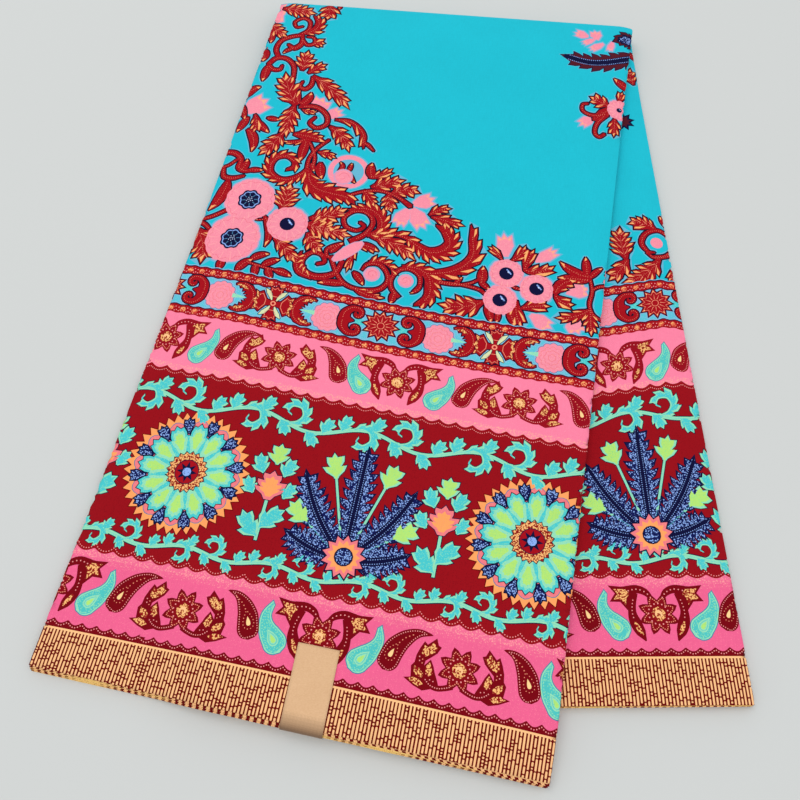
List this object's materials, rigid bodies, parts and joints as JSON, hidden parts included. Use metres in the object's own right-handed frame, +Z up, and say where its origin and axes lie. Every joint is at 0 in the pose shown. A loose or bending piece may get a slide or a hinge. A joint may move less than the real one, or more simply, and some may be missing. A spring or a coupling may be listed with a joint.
{
  "type": "folded length of african print cotton cloth",
  "caption": "Length of printed cotton dress cloth, lapped into a flat strip and folded once so that one end lies askew on the other, ready to lie on a shelf or table.",
  "frame": {"origin": "on the surface it lies on, under the middle of the whole's bounding box", "axes": "+Z up, +Y from the two selvages towards the top fold, +X to the right as seen from the selvages"},
  "size_m": [0.4362, 0.6172, 0.0176],
  "materials": {
    "printed_cotton": "crisp plain-woven cotton with a turquoise ground and a printed maroon, pink and gold border, faint starch sheen",
    "lapped_edges": "edges and undersides of the stacked laps, the print seen from the side and the back",
    "plain_label": "smooth brown paper label, blank"
  },
  "bodies": {
    "root": {"folded_layers": "lapped_edges", "front_panel": "printed_cotton", "back_panel": "printed_cotton", "label": "plain_label"}
  },
  "joints": []
}
